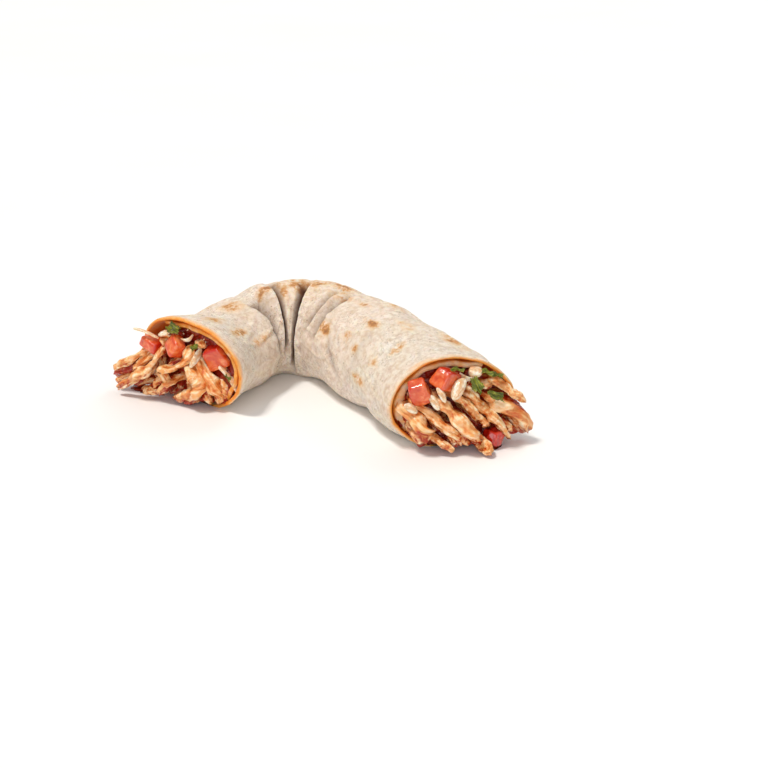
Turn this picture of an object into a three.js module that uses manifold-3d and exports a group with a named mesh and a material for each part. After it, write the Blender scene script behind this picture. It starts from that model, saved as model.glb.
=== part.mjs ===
// A chicken tantuni wrap: one soft flatbread rolled round a long heap of fried
// chicken strips and bent in the middle, so that both open ends face forwards.
// Millimetres, +Z up. The wrap lies on z = 0, the origin is under the middle of
// its box, and -Y is the side that both open ends face.
import * as THREE from "three";
import { mergeVertices } from "three/addons/utils/BufferGeometryUtils.js";
import Module from "manifold-3d";

const wasm = await Module();
wasm.setup();

const DEGREES = Math.PI / 180;
const CLEARANCE = 0.3; // gap that pieces which touch keep

const smooth = (x) => THREE.MathUtils.smoothstep(x, 0, 1);
const mix = THREE.MathUtils.lerp;

// ---------------------------------------------------------------- roll's form

// The roll's middle line on the table is three arcs, walked from the left mouth
// over the bend to the right mouth.
const leftEnd = { x: -64.04, y: -0.06, heading: 64 };
const arcs = [
  { length: 45, turn: -8 }, // left leg
  { length: 63, turn: -112 }, // the bend
  { length: 113, turn: -8 }, // right leg
];
const rollLength = arcs.reduce((sum, arc) => sum + arc.length, 0);
const bendMiddle = arcs[0].length + arcs[1].length / 2;

// The roll is widest at its open ends and pinched in the bend.
const sections = [
  { at: 0, halfWidth: 36, height: 47 },
  { at: 30, halfWidth: 30, height: 41.5 },
  { at: 50, halfWidth: 27, height: 45 },
  { at: 60, halfWidth: 25.5, height: 50.5 },
  { at: bendMiddle, halfWidth: 24, height: 51 },
  { at: bendMiddle + 72, halfWidth: 28, height: 51 },
  { at: rollLength, halfWidth: 31, height: 47 },
];
const restSag = 0.12; // share of the height lost where the roll lies flat

// Each mouth is turned and leans, because the bread's edge isn't cut.
const slants = {
  left: { turn: 14, lean: -8 },
  right: { turn: 12, lean: -6 },
  reach: 45, // how far into the roll the slant is felt
  waves: 3,
  waveHeight: 0.9,
};

// Pleats that the bend presses into the bread. Each runs over the roll between
// two angles: 90 is the top and 180 the inside of the bend. It lies at a place
// along the roll there on top, and drifts and curls on its way to the inside.
// Its walls are before millimetres wide on the left and after on the right.
const pleats = [
  { at: 45, drift: -2, curl: 0, depth: 4.2, before: 3.5, after: 15, from: 90, to: 235 },
  { at: 57.5, drift: -25, curl: 0, depth: 2.2, before: 3.5, after: 5, from: 92, to: 160 },
  { at: 64, drift: 4, curl: 0, depth: 5.5, before: 4.5, after: 8, from: 80, to: 205 },
  { at: 88, drift: 5, curl: -7, depth: 7, before: 9, after: 4, from: 74, to: 235 },
  { at: 111, drift: 22, curl: -26, depth: 3.2, before: 7, after: 3.5, from: 84, to: 178 },
  { at: 124, drift: 4, curl: -6, depth: 2.4, before: 7, after: 3.5, from: 76, to: 185 },
  { at: 111, drift: 33, curl: 0, depth: 1.8, before: 4, after: 8, from: 140, to: 210 },
  { at: 170, drift: -3, curl: 0, depth: 0.8, before: 4, after: 8, from: 105, to: 190 },
];
const pleatFade = 24; // degrees in which a pleat runs out at either end
const swell = { height: 0.9, length: 52, lobes: 2 }; // slow lumps of the filling

// Point and heading of the middle line, a distance s from the left mouth.
function middleLine(s) {
  let { x, y } = leftEnd;
  let heading = leftEnd.heading * DEGREES;
  let rest = s;
  arcs.forEach((arc, i) => {
    const step = i === arcs.length - 1 ? rest : Math.min(rest, arc.length);
    if (i > 0 && rest <= 0) return;
    const curve = (arc.turn * DEGREES) / arc.length;
    const next = heading + curve * step;
    x += (Math.sin(next) - Math.sin(heading)) / curve;
    y -= (Math.cos(next) - Math.cos(heading)) / curve;
    heading = next;
    rest -= step;
  });
  return { x, y, heading };
}

function sectionAt(s) {
  const last = sections.length - 2;
  const i = Math.min(last, sections.findLastIndex((section, k) => k === 0 || s > section.at));
  const [a, b] = [sections[i], sections[i + 1]];
  const t = smooth((s - a.at) / (b.at - a.at));
  return { halfWidth: mix(a.halfWidth, b.halfWidth, t), height: mix(a.height, b.height, t) };
}

// An angle round the roll in degrees, from 0 up to 360.
const inDegrees = (angle) => THREE.MathUtils.euclideanModulo(angle / DEGREES, 360);

// How far the bread is pressed in or swells out at a place on the roll.
function pressedIn(s, angle) {
  const degrees = inDegrees(angle);
  const alongSwell = Math.sin((s / swell.length) * 2 * Math.PI);
  let depth = swell.height * alongSwell * Math.sin(swell.lobes * angle);
  for (const { at, drift, curl, depth: deepest, before, after, from, to } of pleats) {
    const turned = (degrees - 90) / 90;
    const away = s - (at + drift * turned + curl * turned ** 2);
    const across = Math.max(0, 1 - Math.abs(away) / (away < 0 ? before : after));
    const ends = smooth((degrees - from) / pleatFade) * smooth((to - degrees) / pleatFade);
    depth += deepest * across ** 1.5 * ends;
  }
  return depth;
}

// A place on the roll, inset millimetres under its smooth outer form. s runs
// along the middle line and angle round it: 0 outside the bend, 90 on top.
// The roll sags flat at the floor height.
function onRoll(s, angle, inset, floor = inset) {
  const { halfWidth, height } = sectionAt(THREE.MathUtils.clamp(s, 0, rollLength));
  const radius = height / (2 - restSag);
  const side = (halfWidth - inset) * Math.cos(angle);
  const up = Math.max(floor, radius * (1 - restSag) + (radius - inset) * Math.sin(angle));
  const rise = up - height / 2;
  const { left, right, reach, waves, waveHeight } = slants;
  const wave = waveHeight * Math.sin(waves * angle);
  const slant = (mouth, sign) =>
    side * Math.tan(mouth.turn * DEGREES) + sign * rise * Math.tan(mouth.lean * DEGREES) + wave;
  const forward =
    smooth(1 - s / reach) * slant(left, 1) + smooth(1 - (rollLength - s) / reach) * slant(right, -1);
  const { x, y, heading } = middleLine(s);
  return new THREE.Vector3(
    x - Math.sin(heading) * side + Math.cos(heading) * forward,
    y + Math.cos(heading) * side + Math.sin(heading) * forward,
    up,
  );
}

// ---------------------------------------------------------------- making solids

function solidOf(geometry) {
  const bare = geometry.clone();
  bare.deleteAttribute("normal");
  bare.deleteAttribute("uv");
  const merged = mergeVertices(bare, 1e-3);
  const build = (triVerts) =>
    new wasm.Manifold(
      new wasm.Mesh({ numProp: 3, vertProperties: merged.attributes.position.array, triVerts }),
    );
  const triangles = new Uint32Array(merged.index.array);
  const solid = build(triangles);
  return solid.volume() > 0 ? solid : build(triangles.reverse());
}

function geometryOf(solid) {
  const { numProp, numVert, vertProperties, triVerts } = solid.getMesh();
  const positions = new Float32Array(numVert * 3);
  for (let i = 0; i < numVert; i += 1) {
    positions.set(vertProperties.subarray(i * numProp, i * numProp + 3), i * 3);
  }
  const geometry = new THREE.BufferGeometry();
  geometry.setAttribute("position", new THREE.BufferAttribute(positions, 3));
  geometry.setIndex(new THREE.BufferAttribute(triVerts, 1));
  geometry.computeVertexNormals();
  return geometry;
}

// Moves every vertex of a geometry to place(vertex).
function reshape(geometry, place) {
  const { position } = geometry.attributes;
  const vertex = new THREE.Vector3();
  for (let i = 0; i < position.count; i += 1) {
    const moved = place(vertex.fromBufferAttribute(position, i));
    position.setXYZ(i, moved.x, moved.y, moved.z);
  }
  return geometry;
}

// Evenly spaced values from one end to the other.
const spread = (from, to, steps) =>
  Array.from({ length: steps + 1 }, (_, i) => mix(from, to, i / steps));

// A closed tube made from a cylinder with a ring at each station. wall places
// the skin at a station and angle, and middle the centre of an end face.
function tube(stations, around, wall, middle) {
  const last = stations.length - 1;
  const cylinder = new THREE.CylinderGeometry(1, 1, 1, around, last);
  return solidOf(
    reshape(cylinder, ({ x, y, z }) => {
      const station = stations[Math.round((y + 0.5) * last)];
      return Math.hypot(x, z) < 0.5 ? middle(station) : wall(station, Math.atan2(z, x));
    }),
  );
}

// A flat sheet given two faces that are split into the same triangles, and a
// rim. place puts a point of the sheet on its lower (0) or upper (1) side.
function thicken(flat, place) {
  const sheet = mergeVertices(flat.deleteAttribute("normal").deleteAttribute("uv"), 1e-5);
  const { position } = sheet.attributes;
  const { count } = position;
  const points = [0, 1].flatMap((side) =>
    Array.from({ length: count }, (_, i) => place(position.getX(i), position.getY(i), side)),
  );
  const faces = [];
  const rim = new Map();
  const corners = sheet.index.array;
  for (let i = 0; i < corners.length; i += 3) {
    const [a, b, c] = corners.slice(i, i + 3);
    faces.push(a + count, b + count, c + count, c, b, a);
    for (const [p, q] of [[a, b], [b, c], [c, a]]) {
      const shared = rim.delete(`${q},${p}`);
      if (!shared) rim.set(`${p},${q}`, [p, q]);
    }
  }
  for (const [p, q] of rim.values()) {
    faces.push(p, q, q + count, p, q + count, p + count);
  }
  return solidOf(new THREE.BufferGeometry().setFromPoints(points).setIndex(faces));
}

// The largest body: what a cut leaves loose and what a union seals are dropped.
function mainBody(solid) {
  return solid.decompose().reduce((a, b) => (a.volume() >= b.volume() ? a : b));
}

// ---------------------------------------------------------------- flatbread

const bread = { thickness: 2.2, around: 36 };

// Rings along the bread stand close together where the pleats are.
const pleated = { from: 34, to: 146 };
const breadStations = [
  ...spread(0, pleated.from, 5),
  ...spread(pleated.from, pleated.to, 32).slice(1, -1),
  ...spread(pleated.to, rollLength, 6),
];

// The inner turn of the roll shows as a second layer at each mouth.
const innerTurn = { from: 62, whole: 84, to: 222, gap: 1.8, depth: 30 };

const cavity = {
  setBack: 5, // the filling's bare core ends this far inside each mouth
  overrun: 9, // the space in the bread is cut this far past each mouth
  around: 24,
  pleatRoom: 8, // thicker wall in the bend, where pleats cut in
};
const coreStations = spread(cavity.setBack, rollLength - cavity.setBack, 16);
const cavityStations = [-cavity.overrun, ...coreStations, rollLength + cavity.overrun];

// Share of the inner turn that stands at an angle, from 0 to 1.
function innerTurnAt(angle) {
  const degrees = inDegrees(angle);
  const { from, whole, to } = innerTurn;
  return smooth((degrees - from) / (whole - from)) * smooth((to - degrees) / (whole - from));
}

function cavityInset(s, angle) {
  const inner = innerTurnAt(angle) * (innerTurn.gap + bread.thickness);
  const bend = smooth((s - 22) / 20) * smooth((165 - s) / 20);
  return bread.thickness + mix(inner, Math.max(inner, cavity.pleatRoom), bend);
}

// The roll as one solid form, its skin and ends offset outwards by grow.
function rollForm(grow) {
  const stations = breadStations.map((s) => s + (s === 0 ? -grow : s === rollLength ? grow : 0));
  const wall = (s, angle) => onRoll(s, angle, pressedIn(s, angle) - grow, -grow);
  return tube(stations, bread.around, wall, middlePoint);
}

function middlePoint(s) {
  const low = onRoll(s, -90 * DEGREES, 0);
  return low.add(onRoll(s, 90 * DEGREES, 0)).multiplyScalar(0.5);
}

// The space inside the bread between the given stations, smaller by gap.
function cavityForm(stations, gap) {
  const wall = (s, angle) => onRoll(s, angle, cavityInset(s, angle) + gap);
  return tube(stations, cavity.around, wall, middlePoint);
}

// The open gap between the outer layer and the inner turn at a mouth.
function turnGap(mouthAt, inwards) {
  const { from, to, gap, depth } = innerTurn;
  return thicken(new THREE.PlaneGeometry(1, 1, 16, 2), (x, y, side) => {
    const angle = mix(from - 8, to - 6, x + 0.5) * DEGREES;
    const s = mouthAt + inwards * mix(-cavity.overrun, depth, y + 0.5);
    const deep = smooth(y + 0.5);
    return onRoll(s, angle, bread.thickness + side * mix(gap, gap * 0.4, deep) + 0.01);
  });
}

function makeBread() {
  const hollows = [cavityForm(cavityStations, 0), turnGap(0, 1), turnGap(rollLength, -1)];
  return mainBody(rollForm(0).subtract(wasm.Manifold.union(hollows)));
}

// ---------------------------------------------------------------- mouths

// A mouth's own axes: out of the roll, across towards the outside of the bend,
// and up from the table.
function mouthAxes(s, sign) {
  const { x, y, heading } = middleLine(s);
  return new THREE.Matrix4().makeBasis(
    new THREE.Vector3(sign * Math.cos(heading), sign * Math.sin(heading), 0),
    new THREE.Vector3(-Math.sin(heading), Math.cos(heading), 0),
    new THREE.Vector3(0, 0, 1),
  ).setPosition(x, y, 0);
}
const mouths = { left: mouthAxes(0, -1), right: mouthAxes(rollLength, 1) };

const inMouth = (mouth, [out, across, up]) =>
  new THREE.Vector3(out, across, up).applyMatrix4(mouths[mouth]);

// ---------------------------------------------------------------- toppings

// Tomato dice: middle of the piece, its size and how it is turned, in mouth axes.
const tomatoes = {
  left: [
    { middle: [0, 23.5, 29.5], size: [9, 12, 6.5], turned: [20, 10, 15] },
    { middle: [3.5, 6.5, 31.5], size: [8, 10.5, 9.5], turned: [35, -15, 30] },
    { middle: [0, -16.5, 28], size: [10, 13, 12], turned: [-25, 20, -10] },
  ],
  right: [
    { middle: [2, -18.5, 31.5], size: [9, 10, 13], turned: [20, 25, -20] },
    { middle: [3, -4, 35.5], size: [10, 15, 10], turned: [-20, 15, 20] },
    { middle: [11, 17.5, 6], size: [8, 9, 7], turned: [10, 20, 35] },
  ],
};

// Onion petals are cut from the bulb's layers, so each is a curved scale.
const onions = {
  left: [
    { middle: [3, 13, 38], size: [11, 5.5, 2], turned: [10, 20, 100], curl: 0.5 },
    { middle: [3.5, 24.5, 36], size: [14, 2.6, 1.4], turned: [0, -23, 64], curl: 0.2 },
    { middle: [4, -1, 37], size: [7, 4, 1.6], turned: [50, 20, 60], curl: 0.8 },
    { middle: [4.5, -6.5, 27], size: [12, 4, 2], turned: [60, 50, 10], curl: 0.5 },
    { middle: [3.5, -26, 18], size: [18, 4.2, 1.6], turned: [20, 47, -98], curl: 0.2 },
  ],
  right: [
    { middle: [3.5, -23.4, 24], size: [8, 4.2, 1.6], turned: [75, 36, 79], curl: 0.5 },
    { middle: [8, -13.6, 27], size: [9, 3.6, 2], turned: [75, 50, 55], curl: 0.4 },
    { middle: [9, -10.3, 30.5], size: [8.5, 3.2, 2], turned: [76, 57, 60], curl: 0.4 },
    { middle: [10.5, -1.7, 33], size: [12, 6, 1.8], turned: [-46, 43, -74], curl: 0.5 },
    { middle: [6, 9.5, 38.5], size: [6.5, 6, 5], turned: [20, 15, 30], curl: 0.3 },
    { middle: [6.5, 5.2, 37], size: [8, 4, 1.8], turned: [40, 21, 72], curl: 0.9 },
  ],
};

// Parsley leaflets lie flat on what is under them.
const parsley = {
  left: [
    { middle: [3, 8, 40], size: [11, 6.5], turned: [35, -9, 107] },
    { middle: [5, -6, 32.5], size: [5, 4], turned: [30, 40, 40] },
    { middle: [5, -25, 19], size: [4.5, 3], turned: [20, 47, -98] },
  ],
  right: [
    { middle: [6, 0, 40.5], size: [8, 3.5], turned: [10, 10, 90] },
    { middle: [9, 14, 38], size: [8, 5], turned: [20, 15, 80] },
    { middle: [9, 20, 35.5], size: [7, 4], turned: [20, 15, 90] },
    { middle: [10, 8, 33], size: [10, 6], turned: [50, 58, 45] },
    { middle: [14.5, 16, 27.5], size: [11, 6], turned: [30, 30, 75] },
  ],
};

const leaf = { thickness: 0.9, ruffle: 0.7, lobes: 5, lobeDepth: 0.3 };

// Brings points of a piece that is modelled about the origin to its spot.
function placed(mouth, { middle, turned }) {
  const turn = new THREE.Euler(...turned.map((degrees) => degrees * DEGREES), "ZYX");
  const spot = new THREE.Vector3(...middle);
  return (x, y, z) =>
    inMouth(mouth, new THREE.Vector3(x, y, z).applyEuler(turn).add(spot).toArray());
}

// A knife-cut dice with soft edges and one end narrower.
const diceForm = { squareness: 7, narrowing: 0.14 };

function dice(mouth, piece, grow) {
  const { squareness, narrowing } = diceForm;
  const put = placed(mouth, piece);
  const [dx, dy, dz] = piece.size.map((size) => size / 2 + grow);
  const block = new THREE.BoxGeometry(2, 2, 2, 3, 3, 3);
  const place = (v) => {
    const norm = v.toArray().reduce((sum, c) => sum + Math.abs(c) ** squareness, 0);
    const onSkin = v.divideScalar(norm ** (1 / squareness));
    const taper = 1 - narrowing * onSkin.z;
    return put(onSkin.x * dx * taper, onSkin.y * dy * taper, onSkin.z * dz);
  };
  return solidOf(reshape(block, place));
}

// A scale of onion, thick in the middle and thin at its rim.
function onionScale(mouth, piece, grow) {
  const [length, width, thick] = piece.size;
  const put = placed(mouth, piece);
  return thicken(new THREE.PlaneGeometry(2, 2, 5, 2), (x, y, side) => {
    const across = y * Math.sqrt(1 - 0.9 * x * x);
    const half = (thick / 2) * (1 - 0.6 * x * x) * (1 - 0.5 * y * y) + grow;
    const cup = -piece.curl * (0.5 * width * across ** 2 + 0.18 * length * x ** 2);
    return put(x * (length / 2 + grow), across * (width / 2 + grow), cup + (side ? half : -half));
  });
}

// A parsley leaflet with a lobed outline and a ruffled blade.
function leaflet(mouth, piece, grow) {
  const [length, width] = piece.size.map((size) => size / 2 + grow);
  const put = placed(mouth, piece);
  const half = leaf.thickness / 2 + grow;
  return thicken(new THREE.CircleGeometry(1, 3 * leaf.lobes), (x, y, side) => {
    const angle = Math.atan2(y, x);
    const lobed = 1 - leaf.lobeDepth * (0.5 + 0.5 * Math.cos(leaf.lobes * angle));
    const ruffle = leaf.ruffle * Math.hypot(x, y) * Math.sin(3 * angle);
    return put(x * lobed * length, y * lobed * width, ruffle + (side ? half : -half));
  });
}

// ---------------------------------------------------------------- filling

// Each strip hangs out of its mouth along a smooth line from root to tip. The
// line's points are in mouth axes: out, across, up.
const strips = {
  left: [
    { line: [[-9, 21, 27], [-2, 27.5, 24.5], [2, 36.5, 18.5], [3, 47.5, 13]], width: 6.5 },
    { line: [[-9, 26, 19], [-3, 36, 13.5], [0, 49, 7.5]], width: 6.5 },
    { line: [[-9, 27, 12], [-2, 38, 9.5], [2, 47, 5]], width: 5 },
    { line: [[-9, 17, 27], [-2, 22.5, 25], [2, 30.5, 18], [3, 34, 13]], width: 5 },
    { line: [[-9, 12, 28], [0, 16.5, 27.5], [6, 20, 20], [9, 28, 13], [7.5, 42, 3.5]], width: 7.5 },
    { line: [[-8, -2, 29], [1, -1, 30], [5, 0, 25], [8, 6, 21], [9, 12, 19], [8, 9, 11]], width: 7 },
    { line: [[-8, 2, 19], [4, -3, 20], [8, -10, 16.5], [9.5, -9, 10.5], [7, 0, 6.5], [6, 7, 6]], width: 8 },
    { line: [[-6, 5, 15], [7, 8, 13], [6, 16.5, 3.5]], width: 6.5 },
    { line: [[-6, 15, 8], [4, 18.5, 7], [6, 26.5, 3]], width: 5 },
    { line: [[-8, -2, 26], [1, -5.5, 25], [4, -12, 19], [5.5, -18.5, 12], [4.5, -20, 4]], width: 7.5 },
    { line: [[-4, -7, 7], [1, -5, 4], [8, 0, 3]], width: 5.5 },
    { line: [[-9, -13, 19], [1, -19.5, 14], [2, -22, 4]], width: 7 },
    { line: [[-8, -4, 14], [4, -9.5, 11.5], [4.5, -14.5, 3.5]], width: 6.5 },
    { line: [[-8, 16, 31], [0, 15, 32.5], [3, 12, 31]], width: 6.5 },
    { line: [[-8, 12, 18], [3, 14, 14], [6, 20, 9]], width: 7 },
    { line: [[-8, 8, 26], [1, 8, 21], [5, 15, 13]], width: 6.5 },
  ],
  right: [
    { line: [[-9, -20, 24], [-1, -20, 19.5], [3, -18, 13], [2, -16, 4.5]], width: 11 },
    { line: [[-9, -17, 26], [0, -19, 24], [6, -12, 18], [11, -6, 11], [11, -1, 4]], width: 6.5 },
    { line: [[-6, -13, 12], [4, -12, 8.5], [14, -6, 3]], width: 5 },
    { line: [[-8, -9, 27], [4, -7.5, 24], [9, -3, 19], [14, 2.5, 12], [13, 9.5, 4]], width: 9 },
    { line: [[-8, -3, 29], [4, -1, 27.5], [8, 4, 23.5], [11, 9, 15.5]], width: 6 },
    { line: [[-8, 5, 28], [5, 7.5, 26.5], [9, 12.5, 21], [12, 18.5, 14], [11.5, 27, 3]], width: 6.5 },
    { line: [[-8, 12, 26], [7, 15.5, 25], [9, 19, 21], [11, 22.5, 16]], width: 5 },
    { line: [[-8, 18, 22], [4, 22, 23], [10, 28, 17], [9, 38.5, 4]], width: 12 },
    { line: [[-8, 14, 31], [5, 20.5, 32], [10, 27, 27], [14, 33.5, 21.5]], width: 5 },
    { line: [[2, 5, 7], [12.5, 9, 4.5], [24, 9, 3]], width: 5 },
    { line: [[-8, 6, 20], [7, 9, 18.5], [11, 13.5, 11]], width: 7 },
    { line: [[-8, 12, 30], [3, 13, 31.5], [8, 17.5, 30.5]], width: 7 },
    { line: [[-8, 18, 14], [6, 22, 13], [10, 27, 6]], width: 7 },
    { line: [[-8, -8, 16], [7, -4, 12], [12, 4, 4]], width: 7 },
  ],
};
const stripForm = {
  around: 5,
  flatness: 0.6, // thickness over width
  tipShare: 0.6, // width left at the tip
  knots: 0.16, // how unevenly a strip is torn
};

// Strips that have slid out of a mouth lie on a low mound at its foot.
const toes = {
  left: { middle: [-7, 8, 8], radii: [11, 28, 13] },
  right: { middle: [-4, 4, 9], radii: [13, 25, 14] },
};

function strip(mouth, { line, width }, number) {
  const points = line.map((point) => new THREE.Vector3(...point));
  const course = new THREE.CatmullRomCurve3(points);
  const up = new THREE.Vector3(0, 0, 1);
  const wall = (along, angle) => {
    const tangent = course.getTangent(along);
    const side = new THREE.Vector3().crossVectors(tangent, up).normalize();
    const top = new THREE.Vector3().crossVectors(side, tangent);
    const torn = 1 + stripForm.knots * Math.sin(7 * along + 2.4 * number + Math.cos(angle));
    const half = (width / 2) * torn * mix(1, stripForm.tipShare, smooth((along - 0.72) / 0.28));
    return inMouth(
      mouth,
      course
        .getPoint(along)
        .addScaledVector(side, half * Math.cos(angle))
        .addScaledVector(top, half * stripForm.flatness * Math.sin(angle))
        .toArray(),
    );
  };
  const middle = (along) => inMouth(mouth, course.getPoint(along).toArray());
  return tube(spread(0, 1, points.length), stripForm.around, wall, middle);
}

function toe(mouth, { middle, radii }) {
  const ball = new THREE.SphereGeometry(1, 12, 6);
  const place = (v) => inMouth(mouth, middle.map((c, i) => c + radii[i] * v.getComponent(i)));
  return solidOf(reshape(ball, place));
}

// The filling is a core that runs through the bread, with the strips that show
// fused on. What would stand in the bread or in a topping is cut away.
function makeFilling(toppings) {
  const shown = Object.keys(mouths).flatMap((mouth) => [
    toe(mouth, toes[mouth]),
    ...strips[mouth].map((piece, i) => strip(mouth, piece, i)),
  ]);
  const heap = wasm.Manifold.union(shown).trimByPlane([0, 0, 1], 0);
  const inside = heap.intersect(cavityForm(cavityStations, CLEARANCE));
  const outside = heap.subtract(rollForm(CLEARANCE));
  const core = cavityForm(coreStations, CLEARANCE);
  return mainBody(core.add(inside).add(outside).subtract(wasm.Manifold.union(toppings)));
}

// ---------------------------------------------------------------- the wrap

const finishes = {
  bread: new THREE.MeshStandardMaterial({ color: 0xe6d6c1, roughness: 0.85 }),
  chicken: new THREE.MeshStandardMaterial({ color: 0xd19a63, roughness: 0.5 }),
  tomato: new THREE.MeshStandardMaterial({ color: 0xdb4a2c, roughness: 0.3 }),
  onion: new THREE.MeshStandardMaterial({ color: 0xf0e6d2, roughness: 0.35 }),
  parsley: new THREE.MeshStandardMaterial({ color: 0x3f6b25, roughness: 0.5 }),
};

const wrap = new THREE.Group();

function add(name, solid, finish) {
  const mesh = new THREE.Mesh(geometryOf(solid), finishes[finish]);
  mesh.name = name;
  wrap.add(mesh);
}

const loose = [
  { kind: "tomato", make: dice, pieces: tomatoes },
  { kind: "onion", make: onionScale, pieces: onions },
  { kind: "parsley", make: leaflet, pieces: parsley },
];

// Toppings are cut clear of those placed before them, and the filling of all.
const breadSolid = makeBread();
const taken = [];
for (const { kind, make, pieces } of loose) {
  for (const mouth of Object.keys(mouths)) {
    pieces[mouth].forEach((piece, i) => {
      const clear = make(mouth, piece, 0).subtract(wasm.Manifold.union([breadSolid, ...taken]));
      add(`${kind}_${mouth}_${i + 1}`, mainBody(clear), kind);
      taken.push(make(mouth, piece, CLEARANCE));
    });
  }
}
add("flatbread", breadSolid, "bread");
add("chicken_filling", makeFilling(taken), "chicken");

// Set down on the table with the origin under the middle of the box.
const box = new THREE.Box3().setFromObject(wrap);
const middle = box.getCenter(new THREE.Vector3());
wrap.position.set(-middle.x, -middle.y, -box.min.z);

export default wrap;
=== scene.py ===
import functools
import math
import random

import bmesh
import bpy
from mathutils import Euler, Matrix, Vector, kdtree, noise


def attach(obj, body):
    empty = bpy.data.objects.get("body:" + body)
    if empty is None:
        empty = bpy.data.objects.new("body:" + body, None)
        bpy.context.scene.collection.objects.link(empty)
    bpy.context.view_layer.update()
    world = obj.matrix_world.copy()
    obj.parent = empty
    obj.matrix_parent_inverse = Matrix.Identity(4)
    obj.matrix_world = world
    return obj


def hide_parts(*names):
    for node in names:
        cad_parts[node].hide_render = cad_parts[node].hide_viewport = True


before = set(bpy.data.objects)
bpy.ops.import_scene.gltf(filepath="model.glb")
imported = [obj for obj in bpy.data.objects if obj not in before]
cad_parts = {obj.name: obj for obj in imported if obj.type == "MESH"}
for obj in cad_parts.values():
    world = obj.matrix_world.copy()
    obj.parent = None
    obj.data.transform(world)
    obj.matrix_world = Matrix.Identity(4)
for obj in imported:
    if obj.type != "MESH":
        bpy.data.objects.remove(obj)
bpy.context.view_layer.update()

# ------------------------------------------------------------ rolled flatbread
# One large soft wheat flatbread, baked on a hot plate and rolled while warm. It
# is matt and pale with toasted spots, pleated deep in the bend, and its open
# ends are stained orange by the sauce inside.

MM = 0.001
ROLL_START = (-64.04, -0.06)  # middle of the left mouth
ROLL_HEADING = 64.0  # degrees, the way from the left mouth into the roll
ARCS = ((45.0, -8.0), (63.0, -112.0), (113.0, -8.0))  # length, turn in degrees
ROLL_LENGTH = sum(length for length, turn in ARCS)
BEND_MIDDLE = ARCS[0][0] + ARCS[1][0] / 2
SECTIONS = (  # distance along the roll, half width, height
    (0.0, 36.0, 47.0),
    (30.0, 30.0, 41.5),
    (50.0, 27.0, 45.0),
    (60.0, 25.5, 50.5),
    (BEND_MIDDLE, 24.0, 51.0),
    (BEND_MIDDLE + 72.0, 28.0, 51.0),
    (ROLL_LENGTH, 31.0, 47.0),
)
REST_SAG = 0.12  # share of the height lost where the roll lies flat
MOUTH_TURN = {"left": 14.0, "right": 12.0}
MOUTH_LEAN = {"left": -8.0, "right": -6.0}
MOUTH_REACH = 45.0
RIM_WAVES = 3
RIM_WAVE = 0.9

BREAD_THICKNESS = 2.0
BREAD_AROUND = 216
LEG_STEP = 1.2
PLEAT_STEP = 0.55
PLEATED = (34.0, 146.0)
INNER_STEP = 5.0
INNER_WALL = 11.0  # the bread's wall in the bend, where the pleats cut in
THICK_WALL = (22.0, 165.0)  # along the roll
THICK_FADE = 20.0
RIM_STEPS = 6
RIM_RAGGED = 0.5
RAGGED_REACH = 6.0
# Each pleat: where it lies on top, its drift and curl on the way to the inside
# of the bend, depth, width before and after, the angles between which it runs,
# and how far the bread laps over it, from before it or (below 0) from after it.
PLEATS = (
    (45.0, -2.0, 0.0, 4.6, 3.5, 15.0, 88, 235, 4.5),
    (57.5, -25.0, 0.0, 2.8, 3.5, 5.0, 86, 160, 2.5),
    (62.5, 5.5, 0.0, 6.8, 4.5, 8.0, 58, 205, 4.0),
    (86.5, 6.5, -7.0, 8.6, 7.0, 4.0, 71, 235, -3.0),
    (111.0, 22.0, -26.0, 3.4, 7.0, 3.5, 76, 178, -2.0),
    (124.0, 4.0, -6.0, 2.8, 7.0, 3.5, 70, 185, -2.0),
    (111.0, 33.0, 0.0, 1.8, 4.0, 8.0, 140, 210, 0.0),
    (170.0, -3.0, 0.0, 0.8, 4.0, 8.0, 105, 190, 0.0),
)
PLEAT_FADE = 32.0
PLEAT_SHARPNESS = 1.5
# Painted shade is darkest at the bottom of a pleat this deep.
CREASE_DEPTH = 7.0  # a pleat this deep is dark at its bottom
LAP_LENGTH = 6.0
RIM_CALM = 18.0  # nearer than this to its open ends, the bread is smoother
CALM_SHARE = 0.25  # of its lumps that is left there
SWELL_HEIGHT = 0.9
SWELL_LENGTH = 52.0
SWELL_LOBES = 2
SKIN_RADIUS = 26.0  # of the roll on which the dents and wrinkles are drawn
DENTS = ((0.9, 13.0), (0.3, 4.5))  # height and size
WRINKLE_SIZE = (26.0, 9.0, 9.0)  # along the roll, and round it
WRINKLE_WIDTH = 0.16  # share of the pattern
WRINKLE_HEIGHT = 1.1
SKIN_DEPTH = 0.7  # of the bread without dents or wrinkles, under the roll's form
LEAST_DEPTH = 0.05
# Toasted spots: place along the roll, angle, length along and round, strength.
TOAST = (
    (130, 148, 7, 5, 1.0),
    (163, 117, 9, 4, 1.0),
    (153, 143, 5, 3.5, 0.8),
    (139, 97, 5, 3, 0.9),
    (166, 150, 5, 3.5, 0.8),
    (193, 121, 4, 6, 0.8),
    (176, 177, 10, 4, 0.7),
    (19, 131, 9, 3.5, 1.0),
    (37, 89, 8, 7, 0.8),
    (14.5, 104, 9, 5, 0.7),
    (83, 102, 10, 8, 1.0),
    (94, 92, 5, 7, 1.0),
    (57, 104, 6, 5, 0.9),
    (72, 116, 5, 6, 0.8),
    (106, 79, 14, 7, 0.9),
    (80, 94, 26, 16, 0.55),
    (118, 100, 16, 6, 0.6),
    (200, 68, 12, 5, 0.8),
    (150, 72, 10, 5, 0.7),
    (178, 95, 8, 4, 0.6),
    (186, 150, 6, 4, 0.6),
    (30, 150, 10, 4, 0.6),
)
TOAST_FADE = 1.6
HIDDEN_TOAST = 26  # spots drawn at random, most on the sides that the photo hides
HIDDEN_SPANS = ((8, ROLL_LENGTH - 8), (-95, 62), (4, 12), (3, 7), (0.4, 0.9))
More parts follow.
